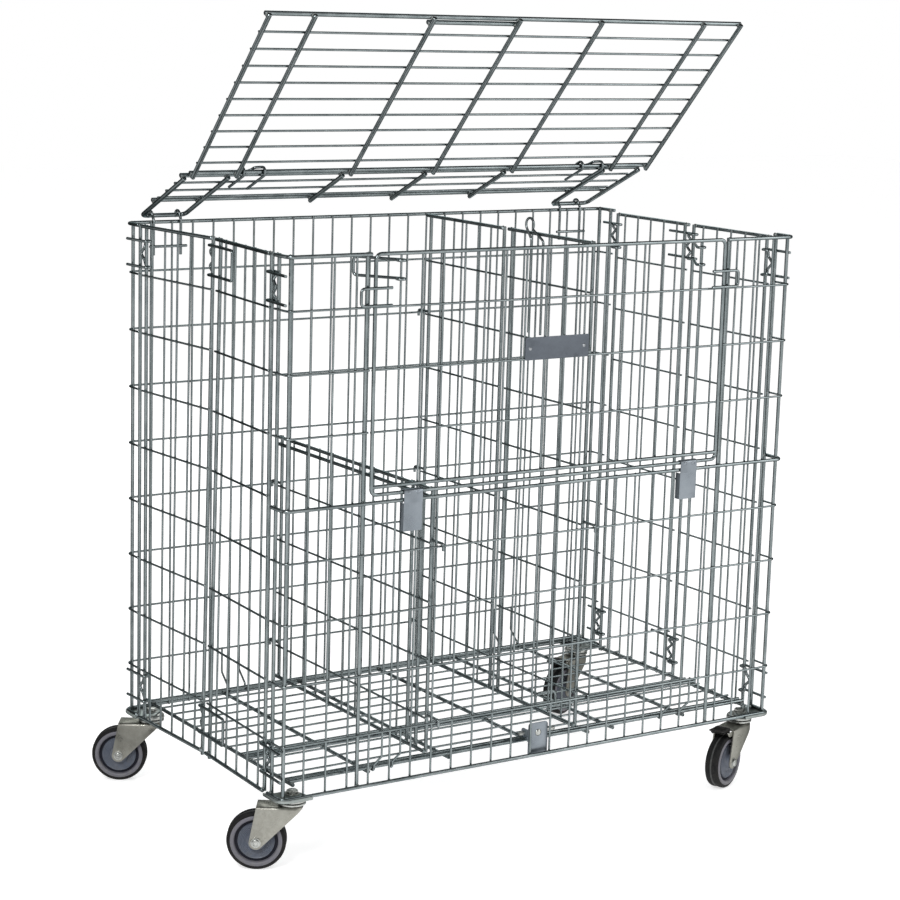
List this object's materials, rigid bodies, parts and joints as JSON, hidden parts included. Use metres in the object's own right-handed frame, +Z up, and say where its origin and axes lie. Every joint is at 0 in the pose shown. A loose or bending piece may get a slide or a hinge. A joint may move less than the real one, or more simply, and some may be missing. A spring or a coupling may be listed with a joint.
{
  "type": "storage trolley",
  "caption": "Folding wire mesh storage trolley on swivel castors, with a raised sectioned lid, a drop-down front gate, inner dividers and a wire floor.",
  "frame": {"origin": "on the floor under the middle of the trolley's bounding box", "axes": "+Z up, +X along the trolley to the right as seen from the gate, -Y towards whoever stands at the gate"},
  "size_m": [1.0942, 0.6314, 1.3852],
  "materials": {
    "zinc_wire": "bright zinc plated wire, satin, with dull weld spots",
    "zinc_sheet": "zinc plated pressed sheet, smooth",
    "castor_zinc": "zinc plated castor steel, faintly yellow",
    "wheel_rubber": "dark solid rubber on a grey plastic centre",
    "pedal_plastic": "black moulded plastic",
    "plate_metal": "plain grey plate, satin"
  },
  "bodies": {
    "cage": {"rear_panel": "zinc_wire", "front_panel": "zinc_wire", "left_side_front_half": "zinc_wire", "left_side_rear_half": "zinc_wire", "right_side_front_half": "zinc_wire", "right_side_rear_half": "zinc_wire", "floor_grid": "zinc_wire", "floor_lock_plate": "zinc_sheet", "divider_front_leaf": "zinc_wire", "divider_rear_leaf": "zinc_wire", "half_height_divider": "zinc_wire", "gate_hinge_clip_left": "zinc_sheet", "gate_hinge_clip_right": "zinc_sheet", "lid_hinge_loops_left": "zinc_wire", "lid_hinge_loops_right": "zinc_wire", "front_left_hinge_clip_top": "zinc_wire", "front_left_hinge_clip_bottom": "zinc_wire", "front_right_hinge_clip_top": "zinc_wire", "front_right_hinge_clip_bottom": "zinc_wire", "rear_left_hinge_clip_top": "zinc_wire", "rear_left_hinge_clip_bottom": "zinc_wire", "rear_right_hinge_clip_top": "zinc_wire", "rear_right_hinge_clip_bottom": "zinc_wire", "left_mid_clip_top": "zinc_wire", "left_mid_clip_bottom": "zinc_wire", "right_mid_clip_top": "zinc_wire", "right_mid_clip_bottom": "zinc_wire", "corner_plate_front_left": "zinc_sheet", "corner_plate_front_right": "zinc_sheet", "corner_plate_rear_left": "zinc_sheet", "corner_plate_rear_right": "zinc_sheet", "swivel_head_front_left": "castor_zinc", "swivel_head_front_right": "castor_zinc", "swivel_head_rear_left": "castor_zinc", "swivel_head_rear_right": "castor_zinc"},
    "lid_rear": {"lid_rear_section": "zinc_wire", "lid_hinge_wire_left": "zinc_wire", "lid_hinge_wire_right": "zinc_wire"},
    "lid_front": {"lid_front_section": "zinc_wire"},
    "gate": {"gate": "zinc_wire", "label_plate": "plate_metal"},
    "gate_latch_left": {"gate_latch_left": "zinc_wire"},
    "gate_latch_right": {"gate_latch_right": "zinc_wire"},
    "divider_lock_pin": {"divider_lock_pin": "zinc_wire"},
    "floor_lock_pin": {"floor_lock_pin": "zinc_sheet"},
    "castor_front_left": {"fork_front_left": "castor_zinc", "axle_front_left": "castor_zinc"},
    "wheel_front_left": {"wheel_front_left": "wheel_rubber"},
    "castor_front_right": {"fork_front_right": "castor_zinc", "axle_front_right": "castor_zinc"},
    "wheel_front_right": {"wheel_front_right": "wheel_rubber"},
    "brake_pedal_front_right": {"brake_pedal_front_right": "pedal_plastic"},
    "castor_rear_left": {"fork_rear_left": "castor_zinc", "axle_rear_left": "castor_zinc"},
    "wheel_rear_left": {"wheel_rear_left": "wheel_rubber"},
    "castor_rear_right": {"fork_rear_right": "castor_zinc", "axle_rear_right": "castor_zinc"},
    "wheel_rear_right": {"wheel_rear_right": "wheel_rubber"},
    "brake_pedal_rear_right": {"brake_pedal_rear_right": "pedal_plastic"}
  },
  "joints": [
    {"name": "lid_rear_hinge", "type": "hinge", "parent": "cage", "child": "lid_rear", "pos_m": [0.02505, 0.28217, 1.02238], "axis": [-1, 0, 0], "range_deg": [-25.4, 224.6]},
    {"name": "lid_fold_hinge", "type": "hinge", "parent": "lid_rear", "child": "lid_front", "pos_m": [0.02505, 0.11708, 1.10974], "axis": [1, 0, 0], "range_deg": [-128.6, 21.4]},
    {"name": "gate_hinge", "type": "hinge", "parent": "cage", "child": "gate", "pos_m": [0.02505, -0.29805, 0.62188], "axis": [1, 0, 0], "range_deg": [0, 135]},
    {"name": "gate_latch_left_swing", "type": "hinge", "parent": "gate", "child": "gate_latch_left", "pos_m": [-0.28245, -0.2928, 0.98488], "axis": [0, 0, -1], "range_deg": [-53, 45]},
    {"name": "gate_latch_right_swing", "type": "hinge", "parent": "gate", "child": "gate_latch_right", "pos_m": [0.33255, -0.2928, 0.98488], "axis": [0, 0, 1], "range_deg": [-53, 45]},
    {"name": "divider_lock_pin_lift", "type": "slide", "parent": "cage", "child": "divider_lock_pin", "axis": [0, 0, 1], "range_m": [0, 0.06]},
    {"name": "floor_lock_pin_slide", "type": "slide", "parent": "cage", "child": "floor_lock_pin", "axis": [1, 0, 0], "range_m": [-0.018, 0.0105]},
    {"name": "castor_front_left_swivel", "type": "hinge", "parent": "cage", "child": "castor_front_left", "pos_m": [-0.45045, -0.26483, 0.11069], "axis": [0, 0, 1], "continuous": true},
    {"name": "wheel_front_left_roll", "type": "hinge", "parent": "castor_front_left", "child": "wheel_front_left", "pos_m": [-0.49793, -0.23329, 0.04938], "axis": [-0.5534, -0.8329, 0], "continuous": true},
    {"name": "castor_front_right_swivel", "type": "hinge", "parent": "cage", "child": "castor_front_right", "pos_m": [0.50055, -0.26483, 0.11069], "axis": [0, 0, 1], "continuous": true},
    {"name": "wheel_front_right_roll", "type": "hinge", "parent": "castor_front_right", "child": "wheel_front_right", "pos_m": [0.44789, -0.28664, 0.04938], "axis": [0.3827, -0.9239, 0], "continuous": true},
    {"name": "brake_pedal_front_right_press", "type": "hinge", "parent": "castor_front_right", "child": "brake_pedal_front_right", "pos_m": [0.44484, -0.28791, 0.10839], "axis": [0.3827, -0.9239, 0], "range_deg": [0, 15]},
    {"name": "castor_rear_left_swivel", "type": "hinge", "parent": "cage", "child": "castor_rear_left", "pos_m": [-0.45245, 0.24767, 0.11069], "axis": [0, 0, 1], "continuous": true},
    {"name": "wheel_rear_left_roll", "type": "hinge", "parent": "castor_rear_left", "child": "wheel_rear_left", "pos_m": [-0.49993, 0.27921, 0.04938], "axis": [-0.5534, -0.8329, 0], "continuous": true},
    {"name": "castor_rear_right_swivel", "type": "hinge", "parent": "cage", "child": "castor_rear_right", "pos_m": [0.50255, 0.24767, 0.11069], "axis": [0, 0, 1], "continuous": true},
    {"name": "wheel_rear_right_roll", "type": "hinge", "parent": "castor_rear_right", "child": "wheel_rear_right", "pos_m": [0.44989, 0.22586, 0.04938], "axis": [0.3827, -0.9239, 0], "continuous": true},
    {"name": "brake_pedal_rear_right_press", "type": "hinge", "parent": "castor_rear_right", "child": "brake_pedal_rear_right", "pos_m": [0.44684, 0.22459, 0.10839], "axis": [0.3827, -0.9239, 0], "range_deg": [0, 15]}
  ]
}
